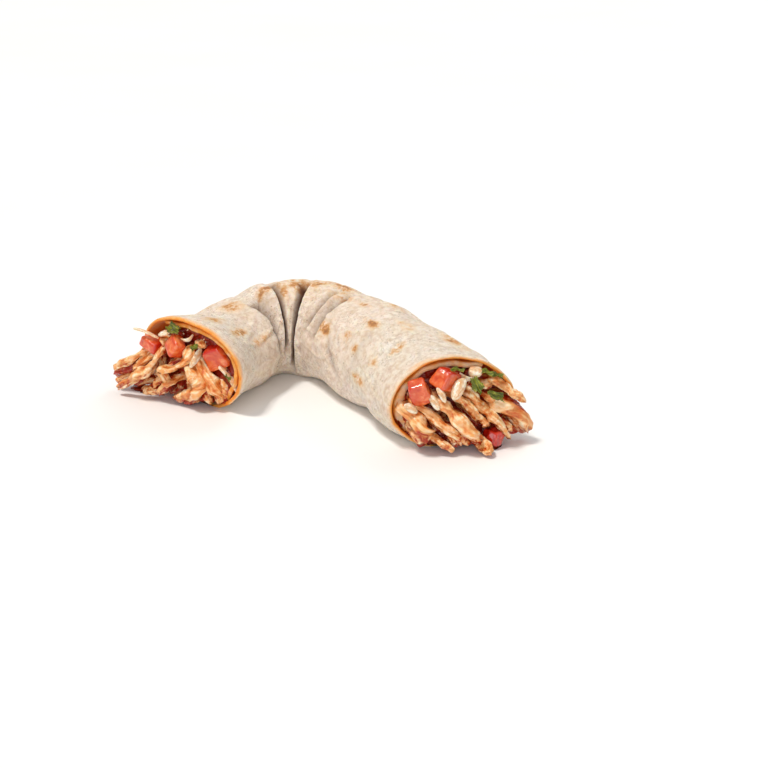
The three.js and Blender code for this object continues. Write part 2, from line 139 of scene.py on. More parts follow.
RIM_STAIN = {"left": (0.26, 0.6), "right": (0.12, 0.55)}  # at its outer and inner edge
RIM_STAIN_REACH = 2.6
INSIDE_STAIN = 0.3
INSIDE_STAIN_MORE = 0.4  # added deep inside
INSIDE_STAIN_REACH = 34.0


def clamp(x, low=0.0, high=1.0):
    return min(high, max(low, x))


def smooth(x):
    x = clamp(x)
    return x * x * (3 - 2 * x)


def mix(a, b, t):
    return a + (b - a) * t


def between(x, start, end, fade):
    """1 between start and end, with a soft fall to 0 inside both."""
    return smooth((x - start) / fade) * smooth((end - x) / fade)


def bumps(place, waves):
    """A height at a place, from noises of the given heights and sizes."""
    return sum(height * noise.noise(place / size) for height, size in waves)


@functools.lru_cache(maxsize=None)
def roll_line(s):
    """Point and heading of the roll's middle line, s mm from the left mouth."""
    x, y = ROLL_START
    heading = math.radians(ROLL_HEADING)
    rest = s
    for i, (length, turn) in enumerate(ARCS):
        if i > 0 and rest <= 0:
            break
        step = rest if i == len(ARCS) - 1 else min(rest, length)
        curve = math.radians(turn) / length
        after = heading + curve * step
        x += (math.sin(after) - math.sin(heading)) / curve
        y -= (math.cos(after) - math.cos(heading)) / curve
        heading = after
        rest -= step
    return x, y, heading


@functools.lru_cache(maxsize=None)
def roll_section(s):
    """Half width and height of the roll, s mm from the left mouth."""
    s = clamp(s, 0, ROLL_LENGTH)
    for (s0, w0, h0), (s1, w1, h1) in zip(SECTIONS, SECTIONS[1:]):
        if s <= s1:
            t = smooth((s - s0) / (s1 - s0))
            return mix(w0, w1, t), mix(h0, h1, t)


def on_roll(s, angle, inset, floor=None):
    """A place inset mm under the roll's form: angle 0 outside the bend, 90 on top."""
    half_width, height = roll_section(s)
    radius = height / (2 - REST_SAG)
    side = (half_width - inset) * math.cos(angle)
    up = radius * (1 - REST_SAG) + (radius - inset) * math.sin(angle)
    up = max(inset if floor is None else floor, up)
    rise = up - height / 2
    wave = RIM_WAVE * math.sin(RIM_WAVES * angle)
    forward = 0.0
    for mouth, away, sign in (("left", s, 1), ("right", ROLL_LENGTH - s, -1)):
        if away < MOUTH_REACH:
            slant = side * math.tan(math.radians(MOUTH_TURN[mouth])) + wave
            slant += sign * rise * math.tan(math.radians(MOUTH_LEAN[mouth]))
            forward += smooth(1 - away / MOUTH_REACH) * slant
    x, y, heading = roll_line(s)
    return Vector(
        (
            x - math.sin(heading) * side + math.cos(heading) * forward,
            y + math.cos(heading) * side + math.sin(heading) * forward,
            up,
        )
    )


def pleat_at(s, angle):
    """The pleats' depth at a place, how far its bread laps over, and the painted shade in its
    groove.
    """
    degrees = math.degrees(angle) % 360
    turned = (degrees - 90) / 90
    depth = lap = crease_shade = 0.0
    for at, drift, curl, deepest, before, after, start, end, lapped in PLEATS:
        if not start < degrees < end:
            continue
        away = s - (at + drift * turned + curl * turned**2)
        run = between(degrees, start, end, PLEAT_FADE)
        across = max(0.0, 1 - abs(away) / (before if away < 0 else after))
        depth += deepest * run * across**PLEAT_SHARPNESS
        # Painted shade: darker colour towards the bottom of each pleat's groove, most in deep
        # pleats.
        crease_shade = max(crease_shade, run**2 * (0.8 * across**3 + across) * deepest / CREASE_DEPTH)
        if lapped > 0:
            beyond, width = -away - before, before
        else:
            beyond, width = away - after, after
        if beyond > 0:
            lap += lapped * run * smooth(1 - beyond / LAP_LENGTH)
        elif beyond > -width:
            lap += lapped * run * (1 + beyond / width)
    return depth, lap, crease_shade


def skin_depth(s, angle):
    """How far the bread is pressed in between the pleats: lumps and wrinkles."""
    swell = math.sin(s / SWELL_LENGTH * 2 * math.pi) * math.sin(SWELL_LOBES * angle)
    place = Vector((s, SKIN_RADIUS * math.cos(angle), SKIN_RADIUS * math.sin(angle)))
    folds = abs(noise.noise(Vector([c / size for c, size in zip(place, WRINKLE_SIZE)])))
    wrinkled = SKIN_DEPTH - WRINKLE_HEIGHT * max(0.0, WRINKLE_WIDTH - folds) / WRINKLE_WIDTH
    pressed = max(LEAST_DEPTH, bumps(place, DENTS) + wrinkled)
    calm = smooth(min(s, ROLL_LENGTH - s) / RIM_CALM)
    return SWELL_HEIGHT * swell + pressed * mix(CALM_SHARE, 1.0, calm)


def toast_at(s, angle, spots):
    """How brown the bread is at a place, from 0 to 1."""
    half_width, height = roll_section(s)
    radius = (half_width + height / 2) / 2
    strongest = 0.0
    for at, degrees, along, around, strength in spots:
        if abs(s - at) < 2 * along:
            turn = math.remainder(angle - math.radians(degrees), 2 * math.pi)
            away = math.hypot((s - at) / along, turn * radius / around)
            strongest = max(strongest, strength * math.exp(-TOAST_FADE * away * away))
    return strongest


def steps(start, end, size):
    """Even places from start to end, about the given size apart."""
    count = max(1, round(abs(end - start) / size))
    return [mix(start, end, i / count) for i in range(count + 1)]


def bread_rows():
    """Rings of the bread from the left mouth over the outside, round the right
    rim, back through the inside and round the left rim: distance, inset, face."""
    outside = steps(0, PLEATED[0], LEG_STEP)[:-1] + steps(*PLEATED, PLEAT_STEP)[:-1]
    outside += steps(PLEATED[1], ROLL_LENGTH, LEG_STEP)
    half = BREAD_THICKNESS / 2
    turns = [math.pi * k / RIM_STEPS for k in range(1, RIM_STEPS)]
    rows = [(s, 0.0, "outside") for s in outside]
    rows += [(ROLL_LENGTH + half * math.sin(t), half * (1 - math.cos(t)), "rim") for t in turns]
    rows += [(s, BREAD_THICKNESS, "inside") for s in steps(ROLL_LENGTH, 0, INNER_STEP)]
    rows += [(-half * math.sin(t), half * (1 + math.cos(t)), "rim") for t in turns]
    return rows


def in_bend(s):
    """Share of the thick wall at a distance along the roll, from 0 to 1."""
    return between(s, *THICK_WALL, THICK_FADE)


def new_object(name, bm, material):
    """Turns a bmesh in metres into an object with one material."""
    mesh = bpy.data.meshes.new(name)
    bm.to_mesh(mesh)
    bm.free()
    mesh.materials.append(material)
    made = bpy.data.objects.new(name, mesh)
    bpy.context.scene.collection.objects.link(made)
    return made


def new_piece(name, bm, material, replaced=()):
    """Turns a bmesh in metres into a piece that rides with the wrap."""
    bmesh.ops.recalc_face_normals(bm, faces=bm.faces)
    for face in bm.faces:
        face.smooth = True
    piece = new_object(name, bm, material)
    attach(piece, "root")
    if replaced:
        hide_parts(*replaced)


def colour(code):
    """An sRGB hex colour as linear red, green, blue and alpha."""
    parts = (int(code[i : i + 2], 16) / 255 for i in (1, 3, 5))
    linear = (c / 12.92 if c <= 0.04045 else ((c + 0.055) / 1.055) ** 2.4 for c in parts)
    return (*linear, 1.0)


def per_mm(size):
    """The scale of a pattern whose features are this many millimetres across."""
    return 1000 / size


def add_node(tree, kind, inputs=None, stops=None, **settings):
    """Adds a shader node with its settings, and links or sets its inputs."""
    node = tree.nodes.new("ShaderNode" + kind)
    for name, value in settings.items():
        setattr(node, name, value)
    for socket, source in (inputs or {}).items():
        if isinstance(source, bpy.types.NodeSocket):
            tree.links.new(source, node.inputs[socket])
        elif isinstance(source, str):
            node.inputs[socket].default_value = colour(source)
        else:
            node.inputs[socket].default_value = source
    for i, (position, code) in enumerate(stops or ()):
        elements = node.color_ramp.elements
        element = elements[i] if i < 2 else elements.new(position)
        element.position = position
        element.color = colour(code)
    return node


def fractal(tree, vector, scale, detail=4.0, roughness=0.6, distortion=0.0):
    """The value of a noise pattern, about 0.5 on average."""
    inputs = {"Vector": vector, "Scale": scale, "Detail": detail}
    inputs |= {"Roughness": roughness, "Distortion": distortion}
    return add_node(tree, "TexNoise", inputs).outputs["Fac"]


def ramp(tree, value, *stops):
    """A colour ramp; its first two stops are the ends, further ones lie between."""
    return add_node(tree, "ValToRGB", {"Fac": value}, stops=stops).outputs["Color"]


def calculate(tree, operation, *values):
    inputs = dict(enumerate(values))
    return add_node(tree, "Math", inputs, operation=operation).outputs[0]


def fit(tree, value, low, high, start=0.0, end=1.0):
    """Maps a value between low and high to between start and end."""
    inputs = {"Value": value, "From Min": low, "From Max": high, "To Min": start, "To Max": end}
    return add_node(tree, "MapRange", inputs).outputs[0]


def attribute(tree, name, output="Fac"):
    return add_node(tree, "Attribute", attribute_name=name).outputs[output]


def blend(tree, share, first, second):
    """A colour between two, by a share from 0 to 1."""
    inputs = {0: share, 6: first, 7: second}
    return add_node(tree, "Mix", inputs, data_type="RGBA").outputs[2]


def multiply(tree, first, second):
    inputs = {0: 1.0, 6: first, 7: second}
    return add_node(tree, "Mix", inputs, data_type="RGBA", blend_type="MULTIPLY").outputs[2]


def set_surface(tree, shader, skin, heights, strength, depth_mm):
    """Links the skin's colour and the bump made from the heights."""
    tree.links.new(skin, shader.inputs["Base Color"])
    inputs = {"Height": heights, "Strength": strength, "Distance": depth_mm * MM}
    bump = add_node(tree, "Bump", inputs)
    tree.links.new(bump.outputs[0], shader.inputs["Normal"])


def set_depth(shader, share, radius_mm):
    """Lets light go into the surface, to the given depths for red, green, blue."""
    shader.inputs["Subsurface Weight"].default_value = share
    shader.inputs["Subsurface Radius"].default_value = radius_mm
    shader.inputs["Subsurface Scale"].default_value = MM


def new_material(name):
    material = bpy.data.materials.new(name)
    material.use_nodes = True
    return material, material.node_tree, material.node_tree.nodes["Principled BSDF"]


def flatbread_material():
    # Soft wheat flatbread, baked dry on a hot plate: a matt, slightly floury skin
    # with cloudy paler and pinker patches, fine dry cracks, small dark specks of
    # bran, toasted blisters and an oily orange stain where the sauce soaked in.
    # Dark brown painted shade lies in the bottoms of the pleats.
    material, tree, shader = new_material("soft_wheat_flatbread")
    place = add_node(tree, "TexCoord").outputs["Object"]
    cloud = fractal(tree, place, per_mm(22))
    skin = ramp(tree, cloud, (0.3, "#D8BEA6"), (0.7, "#ECDFD2"), (0.5, "#E2CFBC"))
    mottle = fractal(tree, place, per_mm(3.2), 6.0, 0.7)
    tint = ramp(tree, mottle, (0.34, "#B8926E"), (0.58, "#F8EEE2"))
    skin = blend(tree, 0.4, skin, tint)
    wander = fractal(tree, place, per_mm(6), 6.0, 0.7, 1.2)
    off_line = calculate(tree, "ABSOLUTE", calculate(tree, "SUBTRACT", wander, 0.5))
    line = fit(tree, off_line, 0.0, 0.016, 1.0, 0.0)
    crack = calculate(tree, "MULTIPLY", line, fit(tree, cloud, 0.4, 0.56))
    skin = blend(tree, calculate(tree, "MULTIPLY", crack, 0.75), skin, "#74552F")
    cells = add_node(tree, "TexVoronoi", {"Vector": place, "Scale": per_mm(2.1)})
    near = fit(tree, cells.outputs["Distance"], 0.08, 0.22, 1.0, 0.0)
    few = calculate(tree, "GREATER_THAN", cells.outputs["Color"], 0.66)
    speck = calculate(tree, "MULTIPLY", near, few)
    skin = blend(tree, calculate(tree, "MULTIPLY", speck, 0.7), skin, "#7A5A38")
    ragged = fractal(tree, place, per_mm(5), 7.0, 0.75)
    toast = attribute(tree, "toast")
    browned = calculate(tree, "MULTIPLY", toast, fit(tree, ragged, 0.38, 0.6, 0.15, 1.25))
    brown = ramp(tree, browned, (0.1, "#EFCB94"), (1.0, "#95581F"), (0.55, "#CC8C44"))
    skin = blend(tree, fit(tree, browned, 0.08, 0.6, 0.0, 0.9), skin, brown)
    # Painted shade: dark brown in the bottoms of the pleats.
    skin = blend(tree, attribute(tree, "crease_shade"), skin, "#5A2E12")
    stain = attribute(tree, "stain")
    soaked = calculate(tree, "ADD", stain, fit(tree, mottle, 0.3, 0.7, -0.14, 0.14))
    oranges = ((0.35, "#EC9838"), (0.6, "#E67A1E"), (0.8, "#C84A10"))
    sauce = ramp(tree, soaked, (0.1, "#F0BE84"), (0.95, "#942A08"), *oranges)
    skin = blend(tree, fit(tree, stain, 0.02, 0.33), skin, sauce)
    wet = fit(tree, stain, 0.1, 0.7, 0.85, 0.3)
    tree.links.new(wet, shader.inputs["Roughness"])
    grain = fractal(tree, place, per_mm(0.9), 5.0)
    heights = calculate(tree, "MULTIPLY_ADD", mottle, 0.8, grain)
    set_surface(tree, shader, skin, heights, 0.8, 0.45)
    set_depth(shader, 0.5, (5.0, 3.0, 1.4))
    return material


random.seed(11)
spots = list(TOAST)
for _ in range(HIDDEN_TOAST):
    spots.append([random.uniform(*span) for span in HIDDEN_SPANS])
rows = bread_rows()
bm = bmesh.new()
bmesh.ops.create_grid(bm, x_segments=len(rows), y_segments=BREAD_AROUND, size=0.5)
toast_layer = bm.verts.layers.float.new("toast")
crease_layer = bm.verts.layers.float.new("crease_shade")
stain_layer = bm.verts.layers.float.new("stain")
for vert in bm.verts:
    s, inset, face = rows[round((vert.co.x + 0.5) * len(rows)) % len(rows)]
    column = round((vert.co.y + 0.5) * BREAD_AROUND) % BREAD_AROUND
    angle = column / BREAD_AROUND * 2 * math.pi
    mouth_away = min(s, ROLL_LENGTH - s)
    edge_stain = RIM_STAIN["left" if s < ROLL_LENGTH / 2 else "right"]
    edge_share = inset / BREAD_THICKNESS
    on_bread = clamp(s, 0, ROLL_LENGTH)
    depth, lap, crease_shade = pleat_at(on_bread, angle)
    depth += skin_depth(on_bread, angle)
    ragged = RIM_RAGGED * noise.noise(Vector((math.cos(angle), math.sin(angle), s)) * 3)
    ragged *= smooth(1 - mouth_away / RAGGED_REACH)
    if face == "inside":
        inset += mix(depth, INNER_WALL, in_bend(s))
        lap = 0.0
    else:
        inset += depth
    vert.co = on_roll(round(s + lap + ragged, 3), angle, inset, 0) * MM
    soak = 0.12 * noise.noise(Vector((math.cos(angle) * 3, math.sin(angle) * 3, s * 0.3)))
    if face == "outside":
        vert[toast_layer] = toast_at(s, angle, spots)
        # Painted shade for the pleats' grooves.
        vert[crease_layer] = clamp(crease_shade)
        stain = (edge_stain[0] + 2 * soak) * smooth(1 - mouth_away / RIM_STAIN_REACH)
    elif face == "rim":
        stain = mix(*edge_stain, edge_share) + 1.5 * soak
    else:
        stain = INSIDE_STAIN + INSIDE_STAIN_MORE * smooth(mouth_away / INSIDE_STAIN_REACH) + soak
    vert[stain_layer] = clamp(stain)
bmesh.ops.remove_doubles(bm, verts=bm.verts, dist=0.002 * MM)
bread_finish = flatbread_material()
new_piece("rolled_flatbread", bm, bread_finish, ["flatbread"])

# ------------------------------------------------------------------ inner turn
# The bread goes round more than once, so a second layer shows inside each
# mouth. Its bare edge is cream, with sauce in the gap between the layers.

TURN = (58.0, 226.0)  # degrees
TURN_RISE = 20.0
TURN_THICKNESS = 1.9
TURN_DOUBLED = {"left": (1.2, 1.3), "right": (1.4, 2.3)}  # thicker on top, low down
TURN_STAIN = {"left": 0.32, "right": 0.22}  # of its edge
TURN_SIDE_STAIN = 0.42
TURN_GAP = 1.9
TURN_DEPTH = 34.0
TURN_SET_BACK = {"left": 1.2, "right": 0.8}
TURN_AROUND = 120
TURN_STEP = 2.5


def turn_share(degrees):
    """Share of the inner turn that stands at an angle, from 0 to 1."""
    return between(degrees, *TURN, TURN_RISE)


for mouth in ("left", "right"):
    half = TURN_THICKNESS / 2
    turns = [math.pi * k / RIM_STEPS for k in range(RIM_STEPS + 1)]
    layers = [(d, 0.0) for d in steps(TURN_DEPTH, half, TURN_STEP)]
    layers += [(half * (1 - math.sin(t)), half * (1 - math.cos(t))) for t in turns[1:-1]]
    layers += [(d, TURN_THICKNESS) for d in steps(half, TURN_DEPTH, TURN_STEP)]
    bm = bmesh.new()
    bmesh.ops.create_grid(bm, x_segments=len(layers) - 1, y_segments=TURN_AROUND, size=0.5)
    stain_layer = bm.verts.layers.float.new("stain")
    for vert in bm.verts:
        deep, inset = layers[round((vert.co.x + 0.5) * (len(layers) - 1))]
        degrees = mix(*TURN, vert.co.y + 0.5)
        angle = math.radians(degrees)
        inwards = deep + TURN_SET_BACK[mouth]
        inwards += 1.2 * noise.noise(Vector((degrees / 16, deep / 40, 3 if mouth == "left" else 9)))
        s = inwards if mouth == "left" else ROLL_LENGTH - inwards
        wobble = 0.5 * noise.noise(Vector((degrees / 22, inwards / 9, 5)))
        gap = TURN_GAP * turn_share(degrees) * mix(1.0, 0.3, smooth(deep / TURN_DEPTH))
        inset *= mix(*TURN_DOUBLED[mouth], smooth((degrees - 135) / 45))
        inset += BREAD_THICKNESS + gap + skin_depth(s, angle) + wobble
        vert.co = on_roll(s, angle, inset) * MM
        soak = 0.14 * noise.noise(Vector((degrees / 7, deep / 3, 1)))
        stain = mix(TURN_STAIN[mouth], TURN_SIDE_STAIN, smooth(deep / 3.0))
        vert[stain_layer] = clamp(stain + 0.4 * smooth(deep / 14) + soak)
    bmesh.ops.holes_fill(bm, edges=[e for e in bm.edges if e.is_boundary])
    new_piece("inner_turn_" + mouth, bm, bread_finish)

# ---------------------------------------------------------------- packed filling
# Inside the roll the chicken lies packed in dark red, oily sauce from one mouth
# to the other, and it slumps out of both mouths over a low toe.

CORE_SET_BACK = 5.0
CORE_RINGS = 150
CORE_AROUND = 120
CAP_SHARE = 0.3  # share of the rings that close each end
CORE_GAP = {"open": 2.6, "turn": 6.4}
HIDDEN_GAP = 3.0  # extra room inside the roll
LOOSE_GAP = 6.0  # extra room at the mouths, where the bread stands off the filling
LOOSE_SIDE = (8.0, 88.0)  # degrees
LOOSE_FADE = 25.0
LOOSE_REACH = 26.0
CAP_SWELL = 1.0
TOE = {"left": (11.0, 8.0, 30.0), "right": (13.0, 4.0, 28.0)}  # out, middle, half width
TOE_TOP = 24.0
CORE_LUMPS = ((1.6, 5.0), (0.8, 2.2))  # height and size


def mouth_axes(s, sign):
    """Axes of a mouth: out of the roll, across towards the outside, and up."""
    x, y, heading = roll_line(s)
    out = Vector((sign * math.cos(heading), sign * math.sin(heading), 0))
    across = Vector((-math.sin(heading), math.cos(heading), 0))
    axes = Matrix((out, across, (0, 0, 1))).transposed().to_4x4()
    return Matrix.Translation((x, y, 0)) @ axes


MOUTHS = {"left": mouth_axes(0.0, -1), "right": mouth_axes(ROLL_LENGTH, 1)}


def core_place(t, angle):
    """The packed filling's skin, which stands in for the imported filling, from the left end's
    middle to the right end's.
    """
    degrees = math.degrees(angle) % 360
    along = clamp((t - CAP_SHARE) / (1 - 2 * CAP_SHARE))
    s = round(mix(CORE_SET_BACK, ROLL_LENGTH - CORE_SET_BACK, along), 3)
    inset = mix(CORE_GAP["open"], CORE_GAP["turn"], turn_share(degrees))
    loose = between(degrees, *LOOSE_SIDE, LOOSE_FADE)
    mouth_away = min(s, ROLL_LENGTH - s)
    inset += LOOSE_GAP * loose * smooth(1 - mouth_away / LOOSE_REACH)
    inset += HIDDEN_GAP * smooth((mouth_away - CORE_SET_BACK) / 10)
    inset = mix(inset, INNER_WALL + HIDDEN_GAP, in_bend(s))
    wall = on_roll(s, angle, inset)
    spread = clamp(min(t, 1 - t) / CAP_SHARE)
    if spread >= 1:
        return wall
    mouth = "left" if t < 0.5 else "right"
    middle = (on_roll(s, math.pi / 2, inset) + on_roll(s, -math.pi / 2, inset)) / 2
    place = middle + (wall - middle) * math.sin(spread * math.pi / 2)
    across = (MOUTHS[mouth].inverted() @ place).y
    toe_out, toe_middle, toe_half = TOE[mouth]
    low = smooth((TOE_TOP - place.z) / TOE_TOP) * smooth(1.3 - abs(across - toe_middle) / toe_half)
    swell = math.cos(spread * math.pi / 2) ** 0.8
    out = MOUTHS[mouth].to_3x3() @ Vector((1, 0, 0))
    return place + out * (CAP_SWELL * swell + toe_out * low * mix(0.35, 1.0, swell))


def heap_front(mouth, across, up):
    """A place on the filling's front: across and up run from -1 to 1 over it."""
    t = CAP_SHARE * math.hypot(across, up)
    return core_place(t if mouth == "left" else 1 - t, math.atan2(up, across))


def set_coat(shader, weight, roughness):
    """Lays a clear, wet film over the surface."""
    shader.inputs["Coat Weight"].default_value = weight
    shader.inputs["Coat Roughness"].default_value = roughness


def chicken_material(name, pale, sauce_share, sauce_code):
    # Chicken fried on a flat pan: moist fibres that run along the strip, cream on
    # the pulled faces and browned orange on the edges, under a film of red oil.
    # Painted light and shade: raised parts are coloured paler, and hollows,
    # undersides and spots under other strips darker and redder.
    material, tree, shader = new_material(name)
    grain = attribute(tree, "grain", "Vector")
    along = add_node(tree, "Mapping", {"Vector": grain, "Scale": (1.0, 1.0, 0.14)}).outputs[0]
    fibres = fractal(tree, along, 0.8, 4.0, 0.6)
    patch = fractal(tree, grain, 0.24, 3.0)
    # Painted light and shade: paler where the strip bulges out, darker in hollows and under other
    # strips, mixed with random patches and fibres; the browned colour follows it too.
    lit = calculate(tree, "MULTIPLY_ADD", patch, 0.7, fit(tree, fibres, 0.3, 0.7, -0.45, -0.2))
    lit = calculate(tree, "MULTIPLY_ADD", attribute(tree, "painted_ridge_light"), 0.9, lit)
    skin = ramp(tree, lit, (0.22, pale[0]), (0.75, pale[2]), (0.48, pale[1]))
    blotch = fractal(tree, grain, 0.45, 5.0)
    warm = ramp(tree, blotch, (0.42, "#FFFFFF"), (0.62, "#F4B878"))
    skin = multiply(tree, skin, warm)
    uneven = fit(tree, patch, 0.35, 0.65, -0.3, 0.3)
    seared = calculate(tree, "ADD", attribute(tree, "seared"), uneven)
    brown = ramp(tree, lit, (0.25, "#93400F"), (0.7, "#E89A4E"))
    skin = blend(tree, fit(tree, seared, 0.35, 0.95, 0.0, 0.85), skin, brown)
    uneven = fit(tree, blotch, 0.3, 0.7, -0.35, 0.35)
    # Sauce red laid where the strips hold sauce and where they lie in shade: partly real sauce,
    # partly painted shade.
    sauce_and_shade = calculate(tree, "ADD", attribute(tree, "sauce_and_shade"), uneven)
    soaked = calculate(tree, "ADD", sauce_and_shade, sauce_share)
    skin = blend(tree, fit(tree, soaked, 0.35, 0.85, 0.0, 0.94), skin, sauce_code)
    heights = calculate(tree, "MULTIPLY_ADD", blotch, 0.6, fibres)
    set_surface(tree, shader, skin, heights, 0.55, 0.7)
    tree.links.new(fit(tree, soaked, 0.2, 0.8, 0.46, 0.22), shader.inputs["Roughness"])
    set_coat(shader, 0.2, 0.12)
    set_depth(shader, 0.15, (2.2, 0.9, 0.4))
    return material


def meat_layers(bm):
    """The layers that the meat's material reads, made on first use."""
    floats = bm.verts.layers.float
    vectors = bm.verts.layers.float_vector
    grain = vectors.get("grain") or vectors.new("grain")
    return grain, *(floats.get(name) or floats.new(name) for name in ("painted_ridge_light", "seared", "sauce_and_shade"))


bm = bmesh.new()
grain, painted_ridge_light, seared, sauce_and_shade = meat_layers(bm)
bmesh.ops.create_uvsphere(bm, u_segments=CORE_AROUND, v_segments=CORE_RINGS, radius=1)
for vert in bm.verts:
    t = math.acos(clamp(-vert.co.z, -1, 1)) / math.pi
    place = core_place(t, math.atan2(vert.co.y, vert.co.x))
    lumps = bumps(place, CORE_LUMPS)
    place += Vector((lumps * 0.4, lumps, lumps * 0.5))
    place.z = max(place.z, 0.4)
    vert.co = place * MM
    vert[grain] = place
    vert[painted_ridge_light] = 0.5
    vert[seared] = 0.3
    vert[sauce_and_shade] = 0.8
core_finish = chicken_material(
    "sauced_chicken", ("#8E2E10", "#B04A1C", "#C86E34"), 0.35, "#8A1202"
)
new_piece("filling_core", bm, core_finish, ["chicken_filling"])

# --------------------------------------------------------------- chicken strips
# Thin strips of chicken fried hard on a flat pan and pulled along their fibres:
# flat, ragged and blunt, pale inside and browned at the edges. They hang out of
# both mouths and come to rest on the table.

# Strips: points out, across and up from root to tip, and the width.
STRIPS = {
    "left": (
        (((-9, 21, 27), (-2, 27.5, 24.5), (2, 36.5, 18.5), (3, 47.5, 13)), 6.5),
        (((-9, 26, 19), (-3, 36, 13.5), (0, 49, 7.5)), 6.5),
        (((-9, 27, 12), (-2, 38, 9.5), (2, 47, 5)), 5.5),
        (((-9, 17, 27), (-2, 22.5, 25), (2, 30.5, 18), (3, 34, 13)), 5.0),
        (((-9, 12, 28), (0, 16.5, 27.5), (6, 20, 20), (9, 28, 13), (7.5, 42, 3.5)), 7.5),
        (((-8, -2, 29), (1, -1, 30), (5, 0, 25), (8, 6, 21), (9, 12, 19), (8, 9, 11)), 7.0),
        (((-8, 2, 19), (4, -3, 20), (8, -10, 16.5), (9.5, -9, 10.5), (7, 0, 6.5), (6, 7, 6)), 8.5),
        (((-6, 5, 15), (7, 8, 13), (6, 16.5, 3.5)), 6.5),
        (((-6, 15, 8), (4, 18.5, 7), (6, 26.5, 3)), 5.0),
        (((-8, -2, 26), (1, -5.5, 25), (4, -12, 19), (5.5, -18.5, 12), (4.5, -20, 4)), 7.5),
        (((-4, -7, 7), (1, -5, 4), (8, 0, 3)), 5.5),
        (((-9, -13, 19), (1, -19.5, 14), (2, -22, 4)), 6.5),
        (((-8, -4, 14), (4, -9.5, 11.5), (4.5, -14.5, 3.5)), 6.5),
        (((-8, 16, 31), (0, 15, 32.5), (3, 12, 31)), 6.5),
        (((-8, 12, 18), (3, 14, 14), (6, 20, 9)), 7.0),
        (((-8, 8, 26), (1, 8, 21), (5, 15, 13)), 6.5),
        (((-13, 22, 8), (-7, 31, 5), (-3, 40, 2.5)), 6.0),
        (((-14, 29, 12), (-8, 37, 9), (-4, 45, 4)), 5.5),
        (((-10, 17, 6), (-4, 25, 4), (-1, 33, 2.5)), 6.0),
        (((-8, -3, 32), (0, -6, 34), (3, -11, 33)), 5.0),
        (((-9, -9, 36), (-3, -13, 35), (-1, -19, 33)), 5.0),
    ),
    "right": (
        (((-9, -20, 24), (-1, -20, 19.5), (3, -18, 13), (2, -16, 4.5)), 11.0),
        (((-9, -17, 26), (0, -19, 24), (6, -12, 18), (11, -6, 11), (11, -1, 4)), 6.5),
        (((-6, -13, 12), (4, -12, 8.5), (14, -6, 3)), 5.0),
        (((-8, -9, 27), (4, -7.5, 24), (9, -3, 19), (14, 2.5, 12), (13, 9.5, 4)), 9.0),
        (((-8, -3, 29), (4, -1, 27.5), (8, 4, 23.5), (11, 9, 15.5)), 6.0),
        (((-8, 5, 28), (5, 7.5, 26.5), (9, 12.5, 21), (12, 18.5, 14), (11.5, 27, 3)), 6.5),
        (((-8, 12, 26), (7, 15.5, 25), (9, 19, 21), (11, 22.5, 16)), 5.0),
        (((-8, 18, 22), (4, 22, 23), (10, 28, 17), (9, 38.5, 4)), 12.0),
        (((-8, 14, 31), (5, 20.5, 32), (10, 27, 27), (14, 33.5, 21.5)), 5.0),
        (((2, 5, 7), (12.5, 9, 4.5), (24, 9, 3)), 5.0),
        (((-8, 6, 20), (7, 9, 18.5), (11, 13.5, 11)), 7.0),
        (((-8, 12, 30), (3, 13, 31.5), (8, 17.5, 30.5)), 7.0),
        (((-8, 18, 14), (6, 22, 13), (10, 27, 6)), 7.0),
        (((-8, -8, 16), (7, -4, 12), (12, 4, 4)), 7.0),
        (((-8, 22, 10), (2, 28, 9), (8, 32, 3.5)), 8.0),
    ),
}
STRIP_MESH = (40, 56)  # faces around and along
USUAL_WIDTH = 7.0  # of the strip on which the sizes of its fibres are given
STRIP_TURN = 25.0  # degrees, to either side
STRIP_TWIST = 30.0
STRIP_SWELL = 1.1  # the visible width over the one given, whose edges are thin
STRIP_FLATNESS = 0.56  # thickness over width
STRIP_SQUARENESS = 3.2
STRIP_TIP = 0.74  # width left at the tip
FIBRE_STRETCH = 0.13
PATH_POINTS = 24
# Other strips lying out from and above a spot shade it, and that shade is painted as sauce red.
COVER_REACH = 7.0  # other strips keep the sauce on a spot within this distance
COVER_FULL = 1.1
COVER_SIDE = (0.75, 0.0, 0.66)  # out and up, in the mouth's axes


def along_path(points, t):
    """Point and direction on a smooth curve through the points, t from 0 to 1."""
    ends = [points[0] * 2 - points[1], *points, points[-1] * 2 - points[-2]]
    place = clamp(t) * (len(points) - 1)
    i = min(int(place), len(points) - 2)
    u = place - i
    a, b, c, d = ends[i : i + 4]
    bend = 2 * a - 5 * b + 4 * c - d
    kink = 3 * b - a - 3 * c + d
    point = 0.5 * (2 * b + (c - a) * u + bend * u**2 + kink * u**3)
    way = 0.5 * ((c - a) + 2 * bend * u + 3 * kink * u**2)
    return point, way.normalized()


def strip_tree(lines):
    """A search tree of the points along the middle lines of many strips."""
    tree = kdtree.KDTree(len(lines) * PATH_POINTS)
    for own, line in enumerate(lines):
        for i in range(PATH_POINTS):
            point, way = along_path(line, i / (PATH_POINTS - 1))
            tree.insert(point, own * PATH_POINTS + i)
    tree.balance()
    return tree


def covered(tree, side, own, place):
    """How far strips other than its own lie over and shade a spot, from 0 to 1, for painted shade.
    """
    share = 0.0
    for point, index, away in tree.find_range(place, COVER_REACH):
        if index // PATH_POINTS != own and away > 0:
            share += max(0.0, (point - place).dot(side) / away) * (1 - away / COVER_REACH)
    return clamp(share / COVER_FULL)


